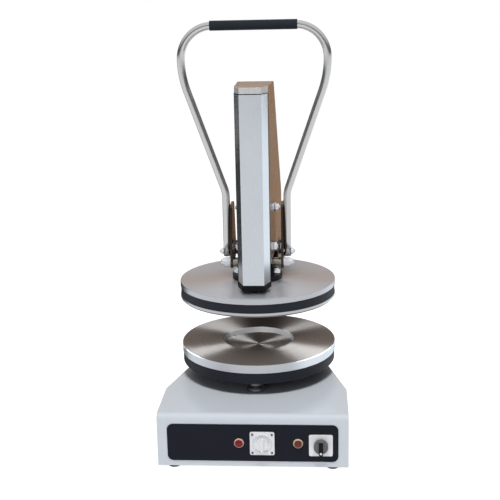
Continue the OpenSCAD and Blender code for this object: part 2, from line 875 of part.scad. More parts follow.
module pin_nuts() {
    face = side_x(axis_y - seam_y + pin_nut_flat / 2);
    color("gainsboro") translate([0, axis_y, fixed_z]) both_sides() difference() {
        side_hex(pin_nut_flat, face, pin_nut_h);
        side_rod(pin_d / 2 + run_fit, face - cut, pin_nut_h + 2 * cut);
    }
}

module pin_clips() {
    color("gray") translate([0, axis_y, fixed_z]) both_sides() difference() {
        side_rod(ring_clip_r, link_x + link_t + run_fit, ring_clip_t);
        side_rod(pin_d / 2 + run_fit, link_x + link_t - cut, ring_clip_t + 2 * cut);
    }
}

// Link from the column's pin to the rear pin of the lever
module link() {
    difference() {
        translate([link_x, 0, 0]) slab(link_t) hull() {
            translate([axis_y, fixed_z]) circle(link_eye_r, $fn = outline_fn);
            translate([rear_pin_y, rear_pin_z]) circle(link_eye_r, $fn = outline_fn);
        }
        translate([0, axis_y, fixed_z]) side_rod(pin_d / 2 + run_fit, link_x - cut, link_t + 2 * cut);
        translate([0, rear_pin_y, rear_pin_z]) side_rod(pin_d / 2 + run_fit, link_x - cut, link_t + 2 * cut);
    }
}

module link_right() {
    color("silver") link();
}

module link_left() {
    color("silver") mirror([1, 0, 0]) link();
}

// Three-cornered lever plate: shaft eye, rear pin eye and the arm up the handle's leg
module lever() {
    bolt_z = shaft_z + handle_bolt_rise;
    difference() {
        translate([lever_gap / 2, 0, 0]) slab(lever_t) hull() {
            translate([axis_y, shaft_z]) circle(lever_eye_r, $fn = outline_fn);
            translate([rear_pin_y, rear_pin_z]) circle(lever_rear_r, $fn = outline_fn);
            translate([axis_y + lever_top_set, shaft_z + lever_top_rise])
                circle(lever_top_r, $fn = outline_fn);
            translate([handle_y, shaft_z + lever_top_rise + lever_top_r - lever_front_r])
                circle(lever_front_r, $fn = outline_fn);
        }
        translate([lever_gap / 2 - cut, 0, 0]) {
            translate([0, axis_y, shaft_z]) side_rod(shaft_d / 2 + run_fit, 0, lever_t + 2 * cut);
            translate([0, rear_pin_y, rear_pin_z]) side_rod(pin_d / 2 + run_fit, 0, lever_t + 2 * cut);
            translate([0, handle_y, bolt_z]) side_rod(handle_bolt_r + run_fit, 0, lever_t + 2 * cut);
        }
    }
}

module lever_right() {
    color("silver") lever();
}

module lever_left() {
    color("silver") mirror([1, 0, 0]) lever();
}

module toggle_pins() {
    color("silver") translate([0, rear_pin_y, rear_pin_z]) both_sides() {
        side_rod(pin_d / 2, link_x - slide_fit, lever_outer - link_x + slide_fit);
        side_rod(rear_head_r, lever_outer, rear_head_h);
    }
}

// Middle line of the hoop's right half in X and Z: leg, knee, slanted stretch, sweep and corner
half_line = concat([[tube_x, tube_end_z]],
    arc([tube_x + knee_r, knee_z], knee_r, 180, 180 - tube_lean, knee_steps),
    arc([sweep_x, corner_z], sweep_r, -tube_lean, -tube_lean / sweep_steps, sweep_steps - 1),
    arc([corner_x, corner_z], corner_r, 0, 90, corner_steps));
hoop_line = concat(half_line, [for (i = [len(half_line) - 1 : -1 : 0]) [-half_line[i].x, half_line[i].y]]);

// Direction of the middle line at point i, upright at both ends
function hoop_way(i) = i == 0 ? [0, 1] : i == len(hoop_line) - 1 ? [0, -1]
    : let (d = hoop_line[i + 1] - hoop_line[i - 1]) d / norm(d);

// Round cross section of the hoop at point i
function hoop_ring(i) = [for (j = [0 : tube_sides - 1])
    let (a = 360 * j / tube_sides, way = hoop_way(i), p = hoop_line[i])
    [p.x + tube_r * cos(a) * way.y, tube_r * sin(a), p.y - tube_r * cos(a) * way.x]];

// Hoop handle: one bent tube from lever to lever, with open ends
module handle_tube() {
    count = len(hoop_line) - 1;
    last = count * tube_sides;
    sides = [for (i = [0 : count - 1], j = [0 : tube_sides - 1])
        let (k = (j + 1) % tube_sides, p = i * tube_sides, q = p + tube_sides)
        each [[p + j, q + j, p + k], [p + k, q + j, q + k]]];
    ends = [for (j = [1 : tube_sides - 2]) each [[0, j, j + 1], [last, last + j + 1, last + j]]];
    color("gainsboro") translate([0, handle_y, 0]) difference() {
        polyhedron([for (i = [0 : count]) each hoop_ring(i)], concat(sides, ends));
        both_sides() {
            translate([tube_x, 0, tube_end_z - cut])
                cylinder(r = tube_r - tube_wall, h = handle_bolt_rise + tube_d, $fn = 48);
            translate([0, 0, shaft_z + handle_bolt_rise])
                side_rod(handle_bolt_r + run_fit, tube_x - tube_d, 2 * tube_d);
        }
    }
}

module handle_grip() {
    color("black") translate([0, handle_y, grip_z]) difference() {
        cross_rod(grip_d / 2, grip_len);
        cross_rod(tube_r + run_fit, grip_len + cut);
    }
}

module handle_bolts() {
    color("silver") translate([0, handle_y, shaft_z + handle_bolt_rise]) both_sides()
        side_rod(handle_bolt_r, lever_gap / 2, lever_t + tube_d + handle_nut_h);
}

// Dome nut along X: a hexagon, a domed end and a blind bore
module dome_nut(flat, x, h, dome_r, bore_r) {
    difference() {
        union() {
            side_hex(flat, x, h);
            translate([x + h, 0, 0]) sphere(dome_r, $fn = 48);
        }
        side_rod(bore_r + run_fit, x - dome_r, h + dome_r);
    }
}

module handle_nuts() {
    color("gainsboro") translate([0, handle_y, shaft_z + handle_bolt_rise]) both_sides()
        dome_nut(handle_nut_flat, lever_outer + tube_d, handle_nut_h, handle_dome_r, handle_bolt_r);
}

// Shaft through both levers and the upper platen's block
module press_shaft() {
    color("silver") translate([0, axis_y, shaft_z])
        cross_rod(shaft_d / 2, 2 * (lever_outer + shaft_washer_t + shaft_nut_h));
}

module shaft_sleeves() {
    inner = block_half + slide_fit;
    color("tan") translate([0, axis_y, shaft_z]) both_sides() difference() {
        side_rod(sleeve_r, inner, lever_gap / 2 - inner);
        side_rod(shaft_d / 2 + run_fit, inner - cut, lever_gap / 2 - inner + 2 * cut);
    }
}

module shaft_nuts() {
    color("gainsboro") translate([0, axis_y, shaft_z]) both_sides() {
        difference() {
            side_rod(shaft_washer_r, lever_outer, shaft_washer_t);
            side_rod(shaft_d / 2 + run_fit, lever_outer - cut, shaft_washer_t + 2 * cut);
        }
        dome_nut(shaft_nut_flat, lever_outer + shaft_washer_t, shaft_nut_h, shaft_dome_r, shaft_d / 2);
    }
}

module press_plate() {
    r = platen_d / 2;
    color("lightsteelblue") translate([0, axis_y, press_z]) rotate_extrude($fn = 192)
        polygon([[0, 0], [r - press_chamfer, 0], [r, press_chamfer], [r, press_plate_t], [0, press_plate_t]]);
}

module upper_heater() {
    color("darkgray") translate([0, axis_y, upper_ring_z + heater_r + heater_gap]) heater_ring();
}

module upper_ring() {
    r = platen_d / 2 - ring_inset;
    color("#2A2E38") translate([0, axis_y, upper_ring_z]) difference() {
        cylinder(r = r, h = upper_ring_h, $fn = 192);
        translate([0, 0, -cut]) cylinder(r = r - ring_wall, h = upper_ring_h + 2 * cut, $fn = 192);
    }
}

module top_disc() {
    r = platen_d / 2;
    color("lightsteelblue") translate([0, axis_y, top_disc_z]) difference() {
        rotate_extrude($fn = 192) polygon([[0, 0], [r, 0], [r, top_disc_t - rim_chamfer],
            [r - rim_chamfer, top_disc_t], [0, top_disc_t]]);
        flange_bolt_places() cylinder(r = bolt_r + run_fit, h = top_disc_t + cut, $fn = 32);
    }
}

module flange_bolt_places() {
    for (a = [0 : 90 : 270]) rotate([0, 0, a])
        translate([flange_bolt_circle_r, 0, top_disc_t / 3]) children();
}

module platen_flange() {
    color("#303030") translate([0, axis_y, upper_top]) difference() {
        rotate_extrude($fn = 96) polygon([[0, 0], [flange_d / 2, 0], [flange_d / 2, flange_t - rim_chamfer],
            [flange_d / 2 - rim_chamfer, flange_t], [0, flange_t]]);
        flange_bolt_places() translate([0, 0, -top_disc_t])
            cylinder(r = bolt_r + run_fit, h = 2 * top_disc_t + flange_t, $fn = 32);
    }
}

module flange_bolts() {
    seat = upper_top + flange_t;
    stud_top = seat + washer_t + nut_h + flange_stud_out;
    color("gainsboro") translate([0, axis_y, 0]) {
        translate([0, 0, top_disc_z]) flange_bolt_places()
            cylinder(r = bolt_r, h = stud_top - top_disc_z - top_disc_t / 3, $fn = 32);
        for (a = [0 : 90 : 270]) rotate([0, 0, a]) translate([flange_bolt_circle_r, 0, seat]) {
            cylinder(r = bolt_flat / sqrt(3), h = washer_t, $fn = 48);
            translate([0, 0, washer_t]) cylinder(r = bolt_flat / sqrt(3), h = nut_h, $fn = 6);
        }
    }
}

// Bearing block that hangs the upper platen on the shaft
module pivot_block() {
    color("#404040") translate([0, axis_y, 0]) difference() {
        union() {
            translate([-block_half, -block_r, upper_top + flange_t])
                cube([2 * block_half, 2 * block_r, shaft_z - upper_top - flange_t]);
            translate([0, 0, shaft_z]) cross_rod(block_r, 2 * block_half);
        }
        translate([0, 0, shaft_z]) cross_rod(shaft_d / 2 + run_fit, 2 * block_half + cut);
    }
}

module guide_rod() {
    color("gray") translate([0, rod_y, upper_top]) cylinder(r = rod_r, h = rod_len, $fn = 64);
}

base_housing();
bottom_plate();
carrier_plate();
feet();
control_panel();
pilot_bezels();
red_lens();
amber_lens();
timer_plate();
timer_body();
timer_dial();
switch_plate();
switch_body();
switch_knob();
panel_screws();
cable_gland();
terminal_block();
support_posts();
post_bolts();
lower_ring();
lower_plate();
lower_heater();
column_foot();
column_bolts();
side_plate_left();
side_plate_right();
back_cover();
throat_cover();
frame_spacers();
frame_bolts();
front_profile();
top_cap();
guide_bush();
spring_hanger();
return_spring();
fixed_pin();
pin_nuts();
pin_clips();
link_left();
link_right();
lever_left();
lever_right();
toggle_pins();
handle_tube();
handle_grip();
handle_bolts();
handle_nuts();
press_shaft();
shaft_sleeves();
shaft_nuts();
press_plate();
upper_heater();
upper_ring();
top_disc();
platen_flange();
flange_bolts();
pivot_block();
guide_rod();
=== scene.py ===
"""Looks of the dough press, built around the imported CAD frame. Metres, +X right, +Y back, +Z up."""

import json
import math

import bmesh
import bpy
from mathutils import Matrix, Vector


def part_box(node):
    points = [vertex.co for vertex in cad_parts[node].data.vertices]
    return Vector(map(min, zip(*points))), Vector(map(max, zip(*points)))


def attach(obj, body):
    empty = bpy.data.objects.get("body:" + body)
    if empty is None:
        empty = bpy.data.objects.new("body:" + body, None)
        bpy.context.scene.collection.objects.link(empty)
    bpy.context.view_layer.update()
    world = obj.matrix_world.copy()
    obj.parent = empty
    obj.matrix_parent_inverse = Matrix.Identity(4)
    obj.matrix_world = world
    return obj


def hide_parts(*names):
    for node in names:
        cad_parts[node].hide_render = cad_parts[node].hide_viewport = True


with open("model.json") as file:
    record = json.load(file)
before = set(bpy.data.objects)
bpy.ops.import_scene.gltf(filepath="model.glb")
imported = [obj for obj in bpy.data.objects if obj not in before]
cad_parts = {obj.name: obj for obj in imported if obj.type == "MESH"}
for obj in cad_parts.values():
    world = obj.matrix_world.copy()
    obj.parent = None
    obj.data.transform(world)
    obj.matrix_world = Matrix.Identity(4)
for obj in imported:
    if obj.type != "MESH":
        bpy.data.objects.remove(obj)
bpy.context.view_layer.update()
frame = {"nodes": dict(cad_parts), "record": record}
NODES = frame["nodes"]
SUBPARTS = frame["record"]["subparts"]
BODIES = frame["record"]["behaviour"]["bodies"]

# Camera at the photograph's viewing angle
CAMERA_AT = Vector((0.12334, -1.91867, 0.85928))
CAMERA_YAW = 0.07205
CAMERA_PITCH = 0.24525
CAMERA_ROLL = -0.02083
CAMERA_LENS = 67.06
SENSOR_WIDTH = 36.0

# Edges that are rounded, creases that stay, faces that are joined, and distance at which corners are welded
SHARP_ANGLE = math.radians(28)
CREASE_ANGLE = math.radians(50)
FLAT_ANGLE = math.radians(0.4)
WELD = 1e-6
# Share of a rounded edge's fullness, and pull of large faces on the shading beside them
ROUND_SHARE = 0.5
FACE_WEIGHT = 100


def middle(node):
    """Middle of a CAD node's box."""
    low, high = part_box(node)
    return (low + high) / 2


def round_turn(sides):
    """Angles of a full turn in equal steps."""
    return [math.tau * i / sides for i in range(sides)]


# Materials

# Scale of a grain along X, Y and Z: the smaller, the longer it is drawn that way
PLAIN = (1, 1, 1)
UPRIGHT = (1, 1, 0.06)
LEVEL = (1, 1, 20)
FINE_LEVEL = (1, 1, 30)

# Broad drift of the roughness over a finish, and strength of its bump
DRIFT = (-0.02, 0.03)
DRIFT_SCALE = 14.0
DRIFT_DETAIL = 2.0
BUMP_STRENGTH = 0.35

# Turned steel: its bands, its smudges, and the turn of its drawn-out highlight as a share of a full turn
BAND_SCALE = 330.0
BAND_DETAIL = 5.0
BAND_STRENGTH = 0.02
BAND_DEPTH = 0.00001
SMUDGE_SCALE = 22.0
SMUDGE_DETAIL = 3.0
TURNED_ROTATION = 0.25


def new_material(name):
    """Material with an empty node tree: returns the material, its tree and a wired Principled shader."""
    mat = bpy.data.materials.new(name)
    mat.use_nodes = True
    tree = mat.node_tree
    tree.nodes.clear()
    out = tree.nodes.new("ShaderNodeOutputMaterial")
    shader = tree.nodes.new("ShaderNodeBsdfPrincipled")
    tree.links.new(shader.outputs["BSDF"], out.inputs["Surface"])
    return mat, tree, shader


def place(tree, scale):
    """Object coordinates stretched by scale along each axis."""
    coords = tree.nodes.new("ShaderNodeTexCoord")
    mapping = tree.nodes.new("ShaderNodeMapping")
    mapping.inputs["Scale"].default_value = scale
    tree.links.new(coords.outputs["Object"], mapping.inputs["Vector"])
    return mapping.outputs["Vector"]


def noise(tree, vector, scale, detail=4.0, rough=0.6):
    """Noise value from 0 to 1."""
    node = tree.nodes.new("ShaderNodeTexNoise")
    node.inputs["Scale"].default_value = scale
    node.inputs["Detail"].default_value = detail
    node.inputs["Roughness"].default_value = rough
    tree.links.new(vector, node.inputs["Vector"])
    return node.outputs["Fac"]


def remap(tree, value, low, high, start=0.3, end=0.7):
    """Value between start and end spread to low and high."""
    node = tree.nodes.new("ShaderNodeMapRange")
    node.inputs["From Min"].default_value = start
    node.inputs["From Max"].default_value = end
    node.inputs["To Min"].default_value = low
    node.inputs["To Max"].default_value = high
    tree.links.new(value, node.inputs["Value"])
    return node.outputs["Result"]


def gradient(tree, value, stops):
    """Colour by value from a list of places and colours."""
    ramp = tree.nodes.new("ShaderNodeValToRGB")
    elements = ramp.color_ramp.elements
    elements[0].position, elements[1].position = stops[0][0], stops[-1][0]
    elements[0].color, elements[1].color = (*stops[0][1], 1), (*stops[-1][1], 1)
    for position, colour in stops[1:-1]:
        elements.new(position).color = (*colour, 1)
    tree.links.new(value, ramp.inputs["Fac"])
    return ramp.outputs["Color"]


def bump(tree, shader, value, strength, distance):
    """Bump of the shader's normal by value."""
    node = tree.nodes.new("ShaderNodeBump")
    node.inputs["Strength"].default_value = strength
    node.inputs["Distance"].default_value = distance
    tree.links.new(value, node.inputs["Height"])
    tree.links.new(node.outputs["Normal"], shader.inputs["Normal"])


def vary(tree, shader, grain, drift, dark, light, rough):
    """Colour and roughness, each between two values by a grain, with a drift of the roughness."""
    colour = gradient(tree, remap(tree, grain, 0, 1), [(0, dark), (1, light)])
    tree.links.new(colour, shader.inputs["Base Color"])
    mixed = tree.nodes.new("ShaderNodeMath")
    mixed.operation = "ADD"
    tree.links.new(remap(tree, grain, *rough), mixed.inputs[0])
    tree.links.new(remap(tree, drift, *DRIFT), mixed.inputs[1])
    tree.links.new(mixed.outputs["Value"], shader.inputs["Roughness"])


def surface(name, dark, light, metal, rough, grain=PLAIN, grain_scale=400.0, bump_depth=0.0, **sockets):
    """General finish with a stretched grain."""
    mat, tree, shader = new_material(name)
    fine = noise(tree, place(tree, grain), grain_scale)
    drift = noise(tree, place(tree, PLAIN), DRIFT_SCALE, DRIFT_DETAIL)
    vary(tree, shader, fine, drift, dark, light, rough)
    shader.inputs["Metallic"].default_value = metal
    for socket, value in sockets.items():
        shader.inputs[socket.replace("_", " ")].default_value = value
    if bump_depth:
        bump(tree, shader, fine, BUMP_STRENGTH, bump_depth)
    return mat


def turned_steel(name, dark, light, rough, aniso):
    """Lathe-turned steel: bands round the platens' axis and a highlight drawn out across the tool marks."""
    mat, tree, shader = new_material(name)
    coords = tree.nodes.new("ShaderNodeTexCoord")
    flat = tree.nodes.new("ShaderNodeVectorMath")
    flat.operation = "MULTIPLY"
    flat.inputs[1].default_value = (1, 1, 0)
    tree.links.new(coords.outputs["Object"], flat.inputs[0])
    reach = tree.nodes.new("ShaderNodeVectorMath")
    reach.operation = "DISTANCE"
    reach.inputs[1].default_value = (*middle("lower_plate").xy, 0)
    tree.links.new(flat.outputs["Vector"], reach.inputs[0])
    rings = tree.nodes.new("ShaderNodeTexNoise")
    rings.noise_dimensions = "1D"
    rings.inputs["Scale"].default_value = BAND_SCALE
    rings.inputs["Detail"].default_value = BAND_DETAIL
    tree.links.new(reach.outputs["Value"], rings.inputs["W"])
    bands = rings.outputs["Fac"]
    smudge = noise(tree, place(tree, PLAIN), SMUDGE_SCALE, SMUDGE_DETAIL)
    vary(tree, shader, bands, smudge, dark, light, rough)
    bump(tree, shader, bands, BAND_STRENGTH, BAND_DEPTH)
    shader.inputs["Metallic"].default_value = 1.0
    shader.inputs["Anisotropic"].default_value = aniso
    shader.inputs["Anisotropic Rotation"].default_value = TURNED_ROTATION
    tangent = tree.nodes.new("ShaderNodeTangent")
    tangent.direction_type = "RADIAL"
    tangent.axis = "Z"
    tree.links.new(tangent.outputs["Tangent"], shader.inputs["Tangent"])
    return mat


# Finish of each material slot: dark and light colour, metal, roughness, grain, its scale and depth, sockets
MATERIALS = {
    "painted_grey": surface("painted_grey", (0.465, 0.50, 0.54), (0.505, 0.54, 0.58), 0.1, (0.36, 0.42),
                            PLAIN, 900.0, 0.00003, Coat_Weight=0.2, Coat_Roughness=0.25),
    "panel_dark": surface("panel_dark", (0.004, 0.0048, 0.010), (0.006, 0.0072, 0.014), 0.0, (0.45, 0.52),
                          PLAIN, 700.0, 0.00001, Specular_IOR_Level=0.16),
    "bare_steel": surface("bare_steel", (0.34, 0.34, 0.35), (0.44, 0.44, 0.45), 1.0, (0.28, 0.4),
                          UPRIGHT, 600.0),
    "rubber_black": surface("rubber_black", (0.012, 0.012, 0.013), (0.025, 0.025, 0.026), 0.0, (0.6, 0.8),
                            PLAIN, 600.0, 0.00005),
    "lamp_bezel": surface("lamp_bezel", (0.56, 0.42, 0.30), (0.62, 0.47, 0.35), 0.2, (0.25, 0.35)),
    "lens_red": surface("lens_red", (0.12, 0.006, 0.005), (0.165, 0.009, 0.008), 0.0, (0.12, 0.2),
                        Coat_Weight=0.1, Specular_IOR_Level=0.25),
    "lens_amber": surface("lens_amber", (0.085, 0.018, 0.008), (0.13, 0.03, 0.012), 0.0, (0.12, 0.2),
                          Coat_Weight=0.1, Specular_IOR_Level=0.25),
    "white_plastic": surface("white_plastic", (0.60, 0.615, 0.64), (0.66, 0.675, 0.70), 0.0, (0.28, 0.36),
                             PLAIN, 500.0, 0.00001, Specular_IOR_Level=0.4),
    "dark_plastic": surface("dark_plastic", (0.003, 0.003, 0.004), (0.006, 0.006, 0.008), 0.0, (0.5, 0.6),
                            PLAIN, 600.0, 0.00003, Specular_IOR_Level=0.16),
    "knob_grey": surface("knob_grey", (0.085, 0.09, 0.095), (0.12, 0.125, 0.13), 0.0, (0.4, 0.5),
                         PLAIN, 600.0, 0.00003, Specular_IOR_Level=0.35),
    "zinc_steel": surface("zinc_steel", (0.74, 0.76, 0.79), (0.80, 0.82, 0.85), 0.6, (0.20, 0.24),
                          PLAIN, 120.0),
    "black_shield": surface("black_shield", (0.006, 0.0075, 0.013), (0.010, 0.012, 0.019), 0.0, (0.48, 0.58),
                            PLAIN, 900.0, 0.00005, Specular_IOR_Level=0.25),
    # Painted reflection: the turned plates' warm brown tint stands for the brown room that they mirror
    "ground_steel": turned_steel("ground_steel", (0.298, 0.254, 0.226), (0.365, 0.316, 0.286),
                                 (0.62, 0.68), 1.0),
    # Partly painted reflection: the side plates' slightly warm tint adds to the brown room that they mirror
    "polished_steel": surface("polished_steel", (0.60, 0.57, 0.54), (0.67, 0.64, 0.61), 0.92, (0.16, 0.22),
                              UPRIGHT, 500.0),
    # Painted shade: near-black brownish steel that paints the shade on the lever plates
    "lever_steel": surface("lever_steel", (0.075, 0.055, 0.045), (0.10, 0.078, 0.065), 0.9, (0.16, 0.24),
                           UPRIGHT, 500.0),
    "satin_profile": surface("satin_profile", (0.60, 0.63, 0.655), (0.65, 0.68, 0.705), 1.0, (0.22, 0.27),
                             UPRIGHT, 700.0),
    "sleeve_steel": surface("sleeve_steel", (0.46, 0.42, 0.35), (0.58, 0.54, 0.46), 1.0, (0.28, 0.4)),
    "dark_steel": surface("dark_steel", (0.003, 0.003, 0.004), (0.007, 0.007, 0.008), 0.0, (0.4, 0.5),
                          Specular_IOR_Level=0.25),
    "grip_black": surface("grip_black", (0.010, 0.013, 0.017), (0.014, 0.017, 0.022), 0.0, (0.46, 0.54),
                          PLAIN, 500.0, 0.00002, Specular_IOR_Level=0.08),
}

# Finishes of single pieces and faces that differ from the rest of their slot
TOP_STEEL = turned_steel("top_steel", (0.66, 0.665, 0.69), (0.72, 0.725, 0.75), (0.36, 0.40), 0.9)
BORE_STEEL = surface("bore_steel", (0.66, 0.66, 0.66), (0.74, 0.74, 0.74), 0.5, (0.34, 0.42), LEVEL, 300.0)
CAP_GREY = surface("cap_grey", (0.34, 0.34, 0.345), (0.42, 0.42, 0.425), 0.2, (0.3, 0.4), UPRIGHT, 500.0)
TUBE_STEEL = surface("tube_steel", (0.58, 0.575, 0.565), (0.64, 0.635, 0.625), 1.0, (0.16, 0.22),
                     UPRIGHT, 500.0)
# Painted shade: near-black finish that paints the shade on the throat cover
THROAT_PAINTED_SHADE = surface("throat_painted_shade", (0.003, 0.003, 0.004), (0.006, 0.006, 0.007), 0.0, (0.5, 0.6),
                      Specular_IOR_Level=0.25)
RIM_STEEL = surface("rim_steel", (0.53, 0.54, 0.56), (0.55, 0.56, 0.58), 1.0, (0.30, 0.32), FINE_LEVEL, 60.0)
BEZEL_RED = surface("bezel_red", (0.56, 0.34, 0.28), (0.62, 0.39, 0.33), 0.2, (0.25, 0.35))
# Painted shade: darkened steel that paints the shade under the lower plate on the support posts
POST_PAINTED_SHADE = surface("post_painted_shade", (0.16, 0.16, 0.165), (0.24, 0.24, 0.245), 1.0, (0.3, 0.4))
# Painted light: a lighter, whiter copy of the zinc finish that paints light on the flange nuts in the
# column's shade
NUT_PAINTED_LIGHT = surface("nut_painted_light", (0.86, 0.88, 0.90), (0.92, 0.94, 0.96), 0.4, (0.18, 0.22), PLAIN, 120.0)
SCREW_STEEL = surface("screw_steel", (0.10, 0.10, 0.105), (0.16, 0.16, 0.165), 1.0, (0.3, 0.4))
TICK_GREY = surface("tick_grey", (0.10, 0.10, 0.11), (0.16, 0.16, 0.17), 0.0, (0.5, 0.6))
OWN_FINISH = {
    "top_disc": TOP_STEEL,
    "support_posts": POST_PAINTED_SHADE,
    "flange_bolts": NUT_PAINTED_LIGHT,
    "panel_screws": SCREW_STEEL,
    "throat_cover": THROAT_PAINTED_SHADE,
}


def dress_frame():
    """Gives every CAD node the finish of its material slot, or its own."""
    for row in SUBPARTS:
        mesh = NODES[row["node"]].data
        mesh.materials.clear()
        mesh.materials.append(OWN_FINISH.get(row["node"], MATERIALS[row["material_slot"]]))


# Helpers for new pieces

def piece(name, mesh, body, slot, material=None, creased=True):
    """Object from a bmesh that rides on a body and takes a slot's finish."""
    data = bpy.data.meshes.new(name)
    mesh.to_mesh(data)
    mesh.free()
    for polygon in data.polygons:
        polygon.use_smooth = True
    if creased:
        data.set_sharp_from_angle(angle=CREASE_ANGLE)
    obj = bpy.data.objects.new(name, data)
    bpy.context.scene.collection.objects.link(obj)
    data.materials.append(material or MATERIALS[slot])
    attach(obj, body)
    return obj


def stand_in(node, name, mesh):
    """Piece with a CAD node's body and finish that stands for the node, its flat faces evenly shaded."""
    slot = next(row["material_slot"] for row in SUBPARTS if row["node"] == node)
    body = next(key for key, nodes in BODIES.items() if node in nodes)
    obj = piece(name, mesh, body, slot, OWN_FINISH.get(node))
    level = obj.modifiers.new("level_faces", "WEIGHTED_NORMAL")
    level.keep_sharp = True
    level.weight = FACE_WEIGHT
    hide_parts(node)
    return obj


def second_finish(obj, material, chosen):
    """Gives the faces that a test picks another finish."""
    obj.data.materials.append(material)
    for face in obj.data.polygons:
        if chosen(face):
            face.material_index = len(obj.data.materials) - 1


def bridge(mesh, rings, closed=False):
    """Faces between neighbouring rings of corners, and from the last ring to the first where closed."""
    for one, two in zip(rings, rings[1:] + rings[:1] if closed else rings[1:]):
        for i in range(len(one)):
            k = (i + 1) % len(one)
            mesh.faces.new((one[i], one[k], two[k], two[i]))


def outward(mesh):
    """The mesh with all its faces turned outwards."""
    bmesh.ops.recalc_face_normals(mesh, faces=mesh.faces)
    return mesh


def extruded(outline, base, top):
    """Closed prism from an outline in X and Y, between two heights."""
    mesh = bmesh.new()
    ends = [[mesh.verts.new((x, y, z)) for x, y in outline] for z in (base, top)]
    bridge(mesh, ends)
    for end in ends:
        mesh.faces.new(end)
    return outward(mesh)


def facing_front(profile, at, sides, ring=False):
    """Turned form, or ring, whose axis runs forwards from a point, from pairs of radius and distance."""
    mesh = bmesh.new()
    turn = round_turn(sides)
    rings = [[mesh.verts.new(at + Vector((r * math.cos(a), -out, r * math.sin(a)))) for a in turn]
             for r, out in profile]
    bridge(mesh, rings, ring)
    if not ring:
        mesh.faces.new(rings[0])
        mesh.faces.new(rings[-1])
    return outward(mesh)


# Rounded copies

# Steps across a rounded edge, and radius of the rounded edges by CAD node
EDGE_STEPS = 3
EDGE_RADII = {
    "base_housing": 0.0012, "control_panel": 0.0004, "timer_plate": 0.0007, "switch_plate": 0.0009,
    "timer_dial": 0.0008, "switch_knob": 0.0010, "pilot_bezels": 0.0005, "upper_ring": 0.0008,
    "lower_ring": 0.0008, "front_profile": 0.0009, "top_cap": 0.0022, "guide_bush": 0.0015,
    "side_plate_left": 0.0007, "side_plate_right": 0.0007, "back_cover": 0.0004, "lever_left": 0.0006,
    "lever_right": 0.0006, "link_left": 0.0006, "link_right": 0.0006, "platen_flange": 0.0006,
    "pivot_block": 0.0008, "column_foot": 0.0010, "support_posts": 0.0006, "pin_nuts": 0.0008,
    "frame_bolts": 0.0006, "flange_bolts": 0.0007, "handle_nuts": 0.0007, "shaft_nuts": 0.0008,
    "toggle_pins": 0.0010, "column_bolts": 0.0006, "panel_screws": 0.0003, "shaft_sleeves": 0.0005,
    "handle_grip": 0.0012, "cable_gland": 0.0005, "feet": 0.0010,
}


def softened(node, width):
    """Copy of a CAD node with its sharp edges rounded, which stands for the node."""
    mesh = bmesh.new()
    mesh.from_mesh(NODES[node].data)
    bmesh.ops.remove_doubles(mesh, verts=mesh.verts, dist=WELD)
    bmesh.ops.dissolve_limit(mesh, angle_limit=FLAT_ANGLE, verts=mesh.verts, edges=mesh.edges)
    sharp = [e for e in mesh.edges if len(e.link_faces) == 2 and e.calc_face_angle(0) > SHARP_ANGLE]
    bmesh.ops.bevel(mesh, geom=sharp, offset=width, segments=EDGE_STEPS, profile=ROUND_SHARE,
                    affect="EDGES", clamp_overlap=True)
    return stand_in(node, node + "_soft", mesh)


def soften_edges():
    """Rounds the edges of the pieces that show, and gives the new pieces by node."""
    return {node: softened(node, width) for node, width in EDGE_RADII.items()}


# Turned discs

# Recess, chamfers and radius of the broken edges, as in the CAD part, and thickness of the recess wall's skin
RECESS_R = 0.0755
RECESS_DEPTH = 0.013
RIM_CHAMFER = 0.001
PRESS_CHAMFER = 0.004
BROKEN_EDGE = 0.0005
BROKEN_STEPS = 4
BORE_SKIN = 0.0001
DISC_SIDES = 240
# Upright share of a face's normal above which it counts as level
LEVEL_SHARE = 0.5
# Depth of the ring in which a rim lies, its chamfer included
RIM_BAND = 0.005


def eased(outline):
    """Outline in radius and height with its inner corners broken, its first and last point on the axis."""
    points = [Vector(outline[0])]
    for before, corner, after in zip(outline, outline[1:], outline[2:]):
        corner = Vector(corner)
        back = (Vector(before) - corner).normalized()
        on = (Vector(after) - corner).normalized()
        for i in range(BROKEN_STEPS + 1):
            t = i / BROKEN_STEPS
            points.append(corner + BROKEN_EDGE * (back * (1 - t) ** 2 + on * t ** 2))
    return points + [Vector(outline[-1])]


def lathed(outline):
    """Turned form round the platens' axis, from an outline with its ends on the axis or a ring's outline."""
    axis = middle("lower_plate")
    mesh = bmesh.new()
    turn = round_turn(DISC_SIDES)
    solid = outline[0][0] == 0
    rings = [[mesh.verts.new((axis.x + r * math.cos(a), axis.y + r * math.sin(a), z)) for a in turn]
             for r, z in (outline[1:-1] if solid else outline)]
    bridge(mesh, rings, not solid)
    if solid:
        for (_, z), ring in ((outline[0], rings[0]), (outline[-1], rings[-1])):
            centre = mesh.verts.new((axis.x, axis.y, z))
            for one, two in zip(ring, ring[1:] + ring[:1]):
                mesh.faces.new((centre, two, one))
    return outward(mesh)


def make_bore():
    """Bright bored wall of the recess, a skin on the lower plate."""
    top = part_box("lower_plate")[1].z
    base = top - RECESS_DEPTH - BORE_SKIN
    near, far = RECESS_R - BORE_SKIN, RECESS_R + BORE_SKIN
    skin = [(near, base), (near, top - BROKEN_EDGE), (far, top - BROKEN_EDGE), (far, base)]
    return piece("bore_wall", lathed(skin), "base", "ground_steel", BORE_STEEL)


def finish_rim(plate):
    """Ground rim round a platen's disc or plate."""
    axis = middle("lower_plate").xy
    radius = max((v.co.xy - axis).length for v in plate.data.vertices)
    second_finish(plate, RIM_STEEL, lambda face: abs(face.normal.z) < LEVEL_SHARE
                  and (face.center.xy - axis).length > radius - RIM_BAND)


